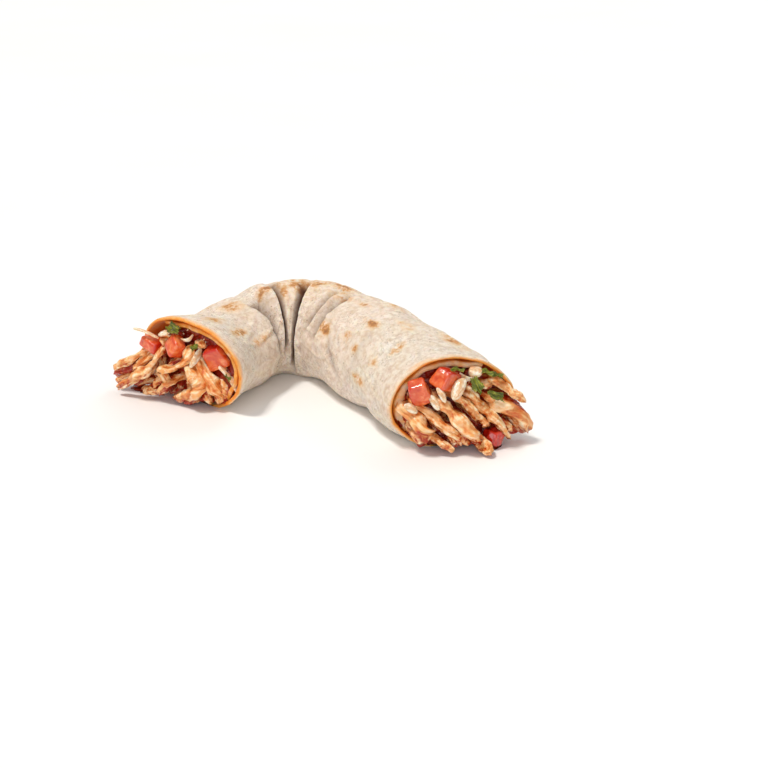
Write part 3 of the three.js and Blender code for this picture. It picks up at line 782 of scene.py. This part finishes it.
def add_strip(bm, points, width, mesh_size, seed, sauce, cover):
    """One pulled strip, made from a sphere whose poles are the strip's ends."""
    around, along = mesh_size
    grain, painted_ridge_light, seared, sauce_and_shade = meat_layers(bm)
    length = sum((b - a).length for a, b in zip(points, points[1:]))
    shift = Vector((seed * 3.7, seed * 1.9, seed * 5.3))
    turn = random.uniform(-STRIP_TURN, STRIP_TURN)
    twist = random.uniform(-STRIP_TWIST, STRIP_TWIST)
    size = width / USUAL_WIDTH
    power = STRIP_SQUARENESS
    width *= STRIP_SWELL
    rings = {}
    made = bmesh.ops.create_uvsphere(bm, u_segments=around, v_segments=along, radius=1)
    for vert in made["verts"]:
        t = math.acos(clamp(-vert.co.z, -1, 1)) / math.pi
        ring = round(t * along)
        if ring not in rings:
            point, way = along_path(points, t)
            flat = way.cross(Vector((0, 0, 1)))
            flat = flat.normalized() if flat.length > 0.05 else Vector((1, 0, 0))
            roll = math.radians(turn + twist * t)
            side = flat * math.cos(roll) + way.cross(flat) * math.sin(roll)
            wide = 1 + 0.5 * noise.noise(Vector((t * length / 7, seed, 0)) + shift)
            thick = 1 + 0.55 * noise.noise(Vector((t * length / 7, seed, 9)) + shift)
            bow = 1.1 * size * noise.noise(Vector((t * length / 9, 7, seed)) + shift)
            rings[ring] = point, way, side, side.cross(way), wide, thick, bow
        point, way, side, top, wide, thick, bow = rings[ring]
        angle = math.atan2(vert.co.y, vert.co.x)
        x, y = math.cos(angle), math.sin(angle)
        square = (abs(x) ** power + abs(y) ** power) ** (-1 / power)
        end = abs(2 * t - 1)
        blunt = (1 - end**10) ** 0.45
        taper = mix(1.0, STRIP_TIP, smooth((t - 0.6) / 0.4))
        across = width / 2 * wide * taper * square * x
        high = width / 2 * STRIP_FLATNESS * thick * square * y
        local = Vector((across, high, t * length))
        drawn = Vector((across, high, local.z * FIBRE_STRETCH)) / size
        fibre = noise.noise(drawn / 1.7 + shift)
        thread = noise.noise(drawn / 0.8 - shift)
        cleft = clamp(1 - abs(fibre) / 0.12)
        lump = noise.noise(local / (4.2 * size) + shift)
        rough = noise.noise(local / (1.5 * size) - shift)
        push = size * (0.85 * lump + 0.3 * rough + 0.45 * fibre + 0.12 * thread - 0.4 * cleft)
        tear = noise.noise(Vector((x * 1.3, y * 1.3, t * 3)) + shift)
        torn = size * (2.6 * tear + 0.6 * fibre - 0.7)
        across = (across + push * x) * blunt
        high = (high + push * y) * blunt
        place = point + side * across + top * (high + bow)
        place += way * torn * smooth((end - 0.6) / 0.4) * min(1.0, 2 * blunt)
        place.z = max(place.z, 0.15)
        vert.co = place * MM
        hollow = clamp(0.5 - 0.9 * push / size)
        foot = smooth((11 - place.z) / 11)
        root = smooth((0.3 - t) / 0.3)
        # Painted shade from the strips that lie over this spot.
        under = cover(place)
        vert[grain] = local / size + shift * 9
        # Painted light and shade: paler where the surface bulges out, darker in hollows and where
        # other strips lie over it.
        vert[painted_ridge_light] = clamp(0.55 + 0.7 * push / size - 0.3 * under)
        vert[seared] = clamp(0.5 * abs(x) ** 4 + 0.5 * lump + 0.4 * smooth((t - 0.85) / 0.15))
        # Sauce red: partly real sauce in clefts and hollows, at the foot and at the root, and
        # partly painted shade on the underside and under other strips.
        wet = 0.3 * cleft + 0.4 * hollow + 0.5 * smooth(-y) + 0.45 * foot + 0.6 * root
        vert[sauce_and_shade] = clamp(wet + 0.9 * under + sauce - 0.22)


strip_finish = chicken_material(
    "pan_fried_chicken", ("#D6843C", "#F5C688", "#FFEECC"), -0.1, "#A61A00"
)
random.seed(5)
covers = {}
for mouth, strips in STRIPS.items():
    bm = bmesh.new()
    lines = [[MOUTHS[mouth] @ Vector(point) for point in points] for points, width in strips]
    side = MOUTHS[mouth].to_3x3() @ Vector(COVER_SIDE)
    covers[mouth] = functools.partial(covered, strip_tree(lines), side)
    for own, (line, (points, width)) in enumerate(zip(lines, strips)):
        seed = own + 20 * (mouth == "right")
        cover = functools.partial(covers[mouth], own)
        add_strip(bm, line, width, STRIP_MESH, seed, 0.0, cover)
    new_piece("chicken_strips_" + mouth, bm, strip_finish)

# ------------------------------------------------------------------ tomato dice
# Ripe tomato cut in dice: wet salmon flesh on the cut faces, glossy red skin on
# one side. The one at the right mouth's foot is soaked in dark red sauce.

# Tomatoes: middle, size, turn in degrees, and the way that the side with skin
# faces, in the mouth's axes.
TOMATOES = {
    "tomato_left_1": ((0, 23.5, 29.5), (9, 12, 6.5), (20, 10, 15), (0.8, -0.3, -0.5)),
    "tomato_left_2": ((3.5, 6.5, 31.5), (8, 10.5, 9.5), (35, -15, 30), (1, 0.2, 0.3)),
    "tomato_left_3": ((0, -16.5, 28), (10, 13, 12), (-25, 20, -10), (-0.5, 0.5, 0.8)),
    "tomato_right_1": ((2, -18.5, 31.5), (9, 10, 13), (20, 25, -20), (-0.5, -0.3, -0.9)),
    "tomato_right_2": ((3, -4, 35.5), (10, 15, 10), (-20, 15, 20), (0, 0.4, 1)),
    "tomato_right_3": ((11, 17.5, 6), (8, 9, 7), (10, 20, 35), (-1, 0, 0)),
}
SOAKED = "tomato_right_3"
DICE_CUTS = 15
DICE_SQUARENESS = 6.5
SOAKED_SQUARENESS = 2.5
DICE_NARROWING = 0.14


def placed(name, middle, turned, local):
    """Brings a point of a piece made about the origin to its spot at its mouth."""
    turn = Euler([math.radians(a) for a in turned]).to_matrix()
    return MOUTHS[name.split("_")[1]] @ (turn @ local + Vector(middle))


def skin_face(name, middle, turned, way):
    """The face of a dice, as a direction of its own, that best faces its skin's way."""
    centre = placed(name, middle, turned, Vector())
    faces = [Vector(sign * (axis == k) for k in range(3)) for axis in range(3) for sign in (1, -1)]
    return max(faces, key=lambda face: (placed(name, middle, turned, face) - centre).dot(way))


def tomato_material(name, flesh_stops, skin_code, roughness):
    # Tomato: watery, slightly see-through flesh with paler veins, and a smooth
    # waxy skin. Both are wet, so highlights are small and bright.
    material, tree, shader = new_material(name)
    place = add_node(tree, "TexCoord").outputs["Object"]
    veins = fractal(tree, place, per_mm(5), 4.0, 0.5, 0.8)
    flesh = ramp(tree, veins, *flesh_stops)
    skin = blend(tree, attribute(tree, "skin"), flesh, skin_code)
    set_surface(tree, shader, skin, veins, 0.6, 0.6)
    shader.inputs["Roughness"].default_value = roughness
    set_coat(shader, 0.8, 0.06)
    set_depth(shader, 0.25, (3.0, 0.8, 0.4))
    return material


tomato_finish = tomato_material(
    "cut_tomato", ((0.34, "#CC3C0C"), (0.7, "#F2945C"), (0.5, "#E25E24")), "#C41E02", 0.24
)
soaked_finish = tomato_material(
    "sauce_soaked_tomato", ((0.3, "#8A0C02"), (0.75, "#E0482A"), (0.55, "#C0200C")), "#B41404", 0.12
)
taken = []  # middle and radius, in millimetres, of the room that the toppings fill
for name, (middle, size, turned, skin_side) in TOMATOES.items():
    soaked = name == SOAKED
    bm = bmesh.new()
    bmesh.ops.create_cube(bm, size=2)
    bmesh.ops.subdivide_edges(bm, edges=bm.edges, cuts=DICE_CUTS, use_grid_fill=True)
    skin = bm.verts.layers.float.new("skin")
    seed = Vector(middle)
    skin_way = skin_face(name, middle, turned, Vector(skin_side))
    squareness = SOAKED_SQUARENESS if soaked else DICE_SQUARENESS
    taken.append((MOUTHS[name.split("_")[1]] @ seed, max(size) / 2))
    for vert in bm.verts:
        unit = vert.co / sum(abs(c) ** squareness for c in vert.co) ** (1 / squareness)
        near = unit.dot(skin_way)
        outer = smooth((near - 0.8) / 0.12)
        vert[skin] = max(outer, 0.55 * smooth((near + 0.3) / 1.2))
        taper = 1 - DICE_NARROWING * unit.z
        local = Vector((unit.x * taper * size[0], unit.y * taper * size[1], unit.z * size[2])) / 2
        dent = 0.5 * noise.noise(local / 5 + seed) + 0.14 * noise.noise(local / 1.4)
        if soaked:
            dent += 0.9 + 1.3 * noise.noise(local / 2.4 + seed)
        bulge = 0.7 * outer * (1 - 0.5 * (unit.x**2 + unit.y**2))
        place = placed(name, middle, turned, local + unit.normalized() * (dent + bulge - 0.4))
        place.z = max(place.z, 0.2)
        vert.co = place * MM
    finish = soaked_finish if soaked else tomato_finish
    new_piece(name + "_dice", bm, finish, [name])

# ------------------------------------------------------------------------ onion
# Raw white onion cut across its layers: thin curved petals and slivers with
# pointed ends, crisp, wet and half see-through, with fine lines along them.

ONIONS = {  # middle, size, turn, curl
    "onion_left_1": ((3, 13, 38), (11, 5.5, 2), (10, 20, 100), 0.5),
    "onion_left_2": ((3.5, 24.5, 36), (14, 2.6, 1.4), (0, -23, 64), 0.2),
    "onion_left_3": ((4, -1, 37), (7, 4, 1.6), (50, 20, 60), 0.8),
    "onion_left_4": ((4.5, -6.5, 27), (12, 4, 2), (60, 50, 10), 0.5),
    "onion_left_5": ((3.5, -26, 18), (18, 4.2, 1.6), (-25, 47, -98), 0.2),
    "onion_right_1": ((3.5, -23.4, 24), (8, 4.2, 1.6), (75, 36, 79), 0.5),
    "onion_right_2": ((8, -13.6, 27), (9, 3.6, 2), (75, 50, 55), 0.4),
    "onion_right_3": ((9, -10.3, 30.5), (8.5, 3.2, 2), (76, 57, 60), 0.4),
    "onion_right_4": ((10.5, -1.7, 33), (12, 6, 1.8), (-46, 43, -74), 0.5),
    "onion_right_5": ((6, 9.5, 38.5), (6.5, 6, 5), (20, 15, 30), 0.3),
    "onion_right_6": ((6.5, 5.2, 37), (8, 4, 1.8), (40, 21, 72), 0.9),
}
ONION_MESH = (48, 40)
ONION_POINTED = {"petal": 0.55, "sliver": 0.3}  # how fast it narrows to its ends
ONION_SLIM = 0.3  # a sliver is no wider than this share of its length
ONION_ARC = 0.7  # with more curl than this, it is a slice of a ring
ONION_EDGE = 0.3  # how square its cut edges are
ONION_THIN = 0.75  # thickness that shows, over the one given


def onion_material():
    # Raw onion: clear juicy cells that scatter light, so it is cream white, with
    # fine lines along it and peach patches where the red oil has run over it.
    material, tree, shader = new_material("raw_onion")
    local = attribute(tree, "lines", "Vector")
    along = add_node(tree, "Mapping", {"Vector": local, "Scale": (0.1, 1.0, 1.0)}).outputs[0]
    lines = fractal(tree, along, 1.5, 3.0)
    flesh = ramp(tree, lines, (0.36, "#DEC8A2"), (0.64, "#FDF5E6"), (0.5, "#F0E0C4"))
    oily = ramp(tree, fractal(tree, local, 0.25, 3.0), (0.38, "#F0C6A2"), (0.6, "#FFFFFF"))
    set_surface(tree, shader, multiply(tree, flesh, oily), lines, 0.4, 0.3)
    shader.inputs["Roughness"].default_value = 0.24
    set_coat(shader, 0.3, 0.08)
    set_depth(shader, 0.5, (2.4, 2.0, 1.3))
    return material


onion_finish = onion_material()
for name, (middle, size, turned, curl) in ONIONS.items():
    length, width, thick = size
    pointed = ONION_POINTED["sliver" if width < ONION_SLIM * length else "petal"]
    for share in (-0.35, 0, 0.35):
        spot = placed(name, middle, turned, Vector((share * length, 0, 0)))
        taken.append((spot, width / 2 + 0.5))
    bm = bmesh.new()
    bmesh.ops.create_uvsphere(bm, u_segments=ONION_MESH[0], v_segments=ONION_MESH[1], radius=1)
    lines = bm.verts.layers.float_vector.new("lines")
    for vert in bm.verts:
        x = vert.co.z
        angle = math.atan2(vert.co.y, vert.co.x)
        wide = clamp(1 - x * x) ** pointed
        y = math.cos(angle) * wide
        side = math.sin(angle)
        flat = math.copysign(abs(side) ** ONION_EDGE, side)
        half = ONION_THIN * thick / 2 * mix(0.6, 1, clamp(1 - x * x)) * flat * min(1.0, 3 * wide)
        cup = -curl * (0.42 * width * y * y + 0.16 * length * x * x)
        ripple = 0.35 * noise.noise(Vector((x * 2.5, y * 2.5, length)))
        bent = 0.08 * length * math.sin(x * 2 + length) * (1 - curl)
        local = Vector((x * length / 2, y * width / 2 + bent, half + cup + ripple))
        if curl > ONION_ARC:
            local.y = y * width / 4 + width / 2 * (x * x - 0.5)
        vert[lines] = local
        vert.co = placed(name, middle, turned, local) * MM
    new_piece(name + "_scale", bm, onion_finish, [name])

# ---------------------------------------------------------------------- parsley
# Chopped flat-leaf parsley: thin ruffled leaflets with a lobed edge, olive green
# with yellower veins.

PARSLEY = {  # middle, size, turn
    "parsley_left_1": ((3, 8, 40), (11, 6.5), (35, -9, 107)),
    "parsley_left_2": ((5, -6, 32.5), (5, 4), (30, 40, 40)),
    "parsley_left_3": ((5, -25, 19), (4.5, 3), (20, 47, -98)),
    "parsley_right_1": ((6, 0, 40.5), (8, 3.5), (10, 10, 90)),
    "parsley_right_2": ((9, 14, 38), (8, 5), (20, 15, 80)),
    "parsley_right_3": ((9, 20, 35.5), (7, 4), (20, 15, 90)),
    "parsley_right_4": ((10, 8, 33), (10, 6), (50, 58, 45)),
    "parsley_right_5": ((14.5, 16, 27.5), (11, 6), (30, 30, 75)),
}
LEAF_THICKNESS = 0.35
LEAF_MESH = (72, 24)
LOBES = 5
LOBE_DEPTH = 0.28


def parsley_material():
    # Parsley leaf: a thin waxy blade, dark olive green with paler, yellower bands
    # along it, half gloss.
    material, tree, shader = new_material("parsley_leaf")
    veins = attribute(tree, "veins", "Vector")
    bands = fractal(tree, veins, 1.1, 4.0, 0.6, 0.8)
    blade = ramp(tree, bands, (0.36, "#343A02"), (0.68, "#B6B03C"), (0.52, "#68700A"))
    set_surface(tree, shader, blade, bands, 0.7, 0.4)
    shader.inputs["Roughness"].default_value = 0.36
    set_depth(shader, 0.12, (0.5, 1.2, 0.3))
    return material


parsley_finish = parsley_material()
for name, (middle, size, turned) in PARSLEY.items():
    length, width = size
    taken.append((placed(name, middle, turned, Vector()), length / 3))
    bm = bmesh.new()
    bmesh.ops.create_uvsphere(bm, u_segments=LEAF_MESH[0], v_segments=LEAF_MESH[1], radius=1)
    veins = bm.verts.layers.float_vector.new("veins")
    for vert in bm.verts:
        x, y, z = vert.co
        reach = math.hypot(x, y)
        angle = math.atan2(y, x)
        lobed = 1 - LOBE_DEPTH * (0.5 + 0.5 * math.cos(LOBES * angle + length)) * reach
        lobed -= 0.08 * reach * math.cos(3 * LOBES * angle)
        ruffle = 0.7 * reach * math.sin(3 * angle + length) + 0.9 * abs(y) * reach
        ruffle += 0.5 * reach * noise.noise(Vector((x * 3, y * 3, length)))
        face = LEAF_THICKNESS / 2 * clamp(abs(z) * 4) * (1 if z > 0 else -1)
        local = Vector((x * lobed * length / 2, y * lobed * width / 2, ruffle + face))
        vert[veins] = Vector((x * 1.2, y * 5, length))
        vert.co = placed(name, middle, turned, local) * MM
    new_piece(name + "_leaflet", bm, parsley_finish, [name])

# -------------------------------------------------------------- scraps and sauce
# Short scraps of chicken, soaked red, fill the room behind the long strips and
# round the toppings. Thick glossy sauce stands in the gaps between them, with a
# few chopped onion crumbs, and it runs out a little on the table.

SCRAPS = 60  # at each mouth
SCRAP_MESH = (22, 26)
SCRAP_ROOM = 1.0  # kept clear round a topping
SCRAP_ACROSS = 0.78  # how far out scraps lie, as a share of the filling's front
SCRAP_DOWN = 0.74
FRONT_REACH = {"scraps": 0.84, "drops": 0.86, "crumbs": 0.85}
SAUCE_DROPS = 22
CRUMBS = 18
# Pools on the table: mouth, out, across, half length, half width.
POOLS = (
    ("left", -6.0, 36.0, 6.0, 4.5),
    ("left", -4.0, 27.0, 7.0, 5.0),
    ("right", 10.0, 16.5, 5.0, 4.0),
)
POOL_HEIGHT = 1.6


def sauce_material():
    # Tomato paste cooked in oil: dark red, thick and very glossy, with darker
    # grains of chilli in it.
    material, tree, shader = new_material("red_oil_sauce")
    place = add_node(tree, "TexCoord").outputs["Object"]
    grains = fractal(tree, place, per_mm(1.6), 5.0)
    skin = ramp(tree, grains, (0.35, "#520B02"), (0.7, "#A22E08"))
    set_surface(tree, shader, skin, grains, 0.4, 0.25)
    shader.inputs["Roughness"].default_value = 0.18
    shader.inputs["Specular IOR Level"].default_value = 0.35
    set_depth(shader, 0.15, (2.0, 0.4, 0.2))
    return material


def front_spot(kind):
    """A random place on the filling's front, in its own measure."""
    turned = random.uniform(0, 2 * math.pi)
    far = FRONT_REACH[kind] * math.sqrt(random.random())
    return far * math.cos(turned), far * math.sin(turned)


def add_blob(bm, middle, radii, turn, seed):
    """A soft lump, lying on the table or on what is under it."""
    made = bmesh.ops.create_uvsphere(bm, u_segments=18, v_segments=12, radius=1)
    for vert in made["verts"]:
        uneven = 1 + 0.45 * noise.noise(vert.co * 1.4 + Vector((seed, 0, 0)))
        local = Vector([c * r * uneven for c, r in zip(vert.co, radii)])
        place = middle + turn @ local
        vert.co = Vector((place.x, place.y, max(place.z, 0.05))) * MM


sauce_finish = sauce_material()
random.seed(23)
for mouth in MOUTHS:
    axes = MOUTHS[mouth].to_3x3()
    out = axes @ Vector((1, 0, 0))
    scraps = bmesh.new()
    for seed in range(SCRAPS):
        across, up = front_spot("scraps")
        lean = random.uniform(-0.25, 0.35)
        drop = random.uniform(0.25, 0.5)
        line = []
        for share in (0, 1 / 3, 2 / 3, 1):
            leant = clamp(across + lean * share, -SCRAP_ACROSS, SCRAP_ACROSS)
            place = heap_front(mouth, leant, max(-SCRAP_DOWN, up - drop * share))
            line.append(place + out * (0.2 + 1.6 * math.sin(share * math.pi * 0.8)))
        width = random.uniform(3.4, 6.0)
        room = width / 2 + SCRAP_ROOM
        if all((place - spot).length > radius + room for place in line for spot, radius in taken):
            sauce = random.uniform(0.1, 0.7)
            cover = functools.partial(covers[mouth], None)
            add_strip(scraps, line, width, SCRAP_MESH, 60 + seed, sauce, cover)
    new_piece("chicken_scraps_" + mouth, scraps, strip_finish)
    sauce = bmesh.new()
    for seed in range(SAUCE_DROPS):
        spot = heap_front(mouth, *front_spot("drops")) + out * 0.4
        radii = (random.uniform(0.8, 1.5), random.uniform(1.6, 4.0), random.uniform(1.6, 4.0))
        add_blob(sauce, spot, radii, axes, seed)
    for pool_mouth, pool_out, across, half_length, half_width in POOLS:
        if pool_mouth == mouth:
            spot = MOUTHS[mouth] @ Vector((pool_out, across, 0))
            add_blob(sauce, spot, (half_width, half_length, POOL_HEIGHT), axes, across)
    new_piece("red_sauce_" + mouth, sauce, sauce_finish)
    crumbs = bmesh.new()
    for seed in range(CRUMBS):
        spot = heap_front(mouth, *front_spot("crumbs")) + out * random.uniform(0.8, 2.0)
        made = bmesh.ops.create_icosphere(crumbs, subdivisions=1, radius=random.uniform(0.35, 0.8))
        spin = Euler([random.uniform(0, 6) for _ in range(3)]).to_matrix()
        for vert in made["verts"]:
            place = spot + spin @ Vector((vert.co.x * 1.6, vert.co.y, vert.co.z * 0.6))
            vert.co = Vector((place.x, place.y, max(place.z, 0.1))) * MM
    new_piece("onion_crumbs_" + mouth, crumbs, onion_finish)

# ---------------------------------------------------------------- table and light
# A plain white table and the soft light of a studio: a broad lamp high on the
# left, weaker ones from the front and from behind, and a bright room all round.

TABLE_SIZE = 6.0
CAMERA_TARGET = (35.96, 27.94, 0.0)
CAMERA_RISE = 20.0
CAMERA_DISTANCE = 790.0
CAMERA_LENS = 68.4


def table_material():
    # Matt white laminate: nearly even, with a faint cloudiness.
    material, tree, shader = new_material("white_table")
    place = add_node(tree, "TexCoord").outputs["Object"]
    cloud = fractal(tree, place, per_mm(300))
    white = ramp(tree, cloud, (0.3, "#F7F7F6"), (0.7, "#FAFAFA"))
    tree.links.new(white, shader.inputs["Base Color"])
    shader.inputs["Roughness"].default_value = 0.6
    return material


bm = bmesh.new()
bmesh.ops.create_grid(bm, x_segments=1, y_segments=1, size=TABLE_SIZE)
new_object("table", bm, table_material())


def add_lamp(name, place, softness, power, tint):
    """A far, broad lamp that shines from a place towards the wrap."""
    lamp = bpy.data.lights.new(name, "SUN")
    lamp.angle = math.radians(softness)
    lamp.energy = power
    lamp.color = colour(tint)[:3]
    holder = bpy.data.objects.new(name, lamp)
    holder.location = place
    holder.rotation_euler = Vector(place).to_track_quat("Z", "Y").to_euler()
    bpy.context.scene.collection.objects.link(holder)


add_lamp("key_lamp", (-0.35, -0.15, 0.95), 12, 1.95, "#FFFBF4")
add_lamp("front_lamp", (0.0, -1.0, 0.3), 40, 0.75, "#FFFFFF")
add_lamp("back_lamp", (0.5, 0.8, 0.9), 30, 0.4, "#FFFFFF")

world = bpy.data.worlds.new("bright_room")
world.use_nodes = True
background = world.node_tree.nodes["Background"]
background.inputs["Color"].default_value = colour("#FFFFFF")
background.inputs["Strength"].default_value = 0.45
bpy.context.scene.world = world
bpy.context.scene.view_settings.view_transform = "Standard"

lens = bpy.data.cameras.new("camera")
lens.lens = CAMERA_LENS
lens.clip_start = 0.01
camera = bpy.data.objects.new("camera", lens)
rise = math.radians(CAMERA_RISE)
back = Vector((0, -math.cos(rise), math.sin(rise))) * CAMERA_DISTANCE
camera.location = (Vector(CAMERA_TARGET) + back) * MM
camera.rotation_euler = (math.pi / 2 - rise, 0, 0)
bpy.context.scene.collection.objects.link(camera)
bpy.context.scene.camera = camera
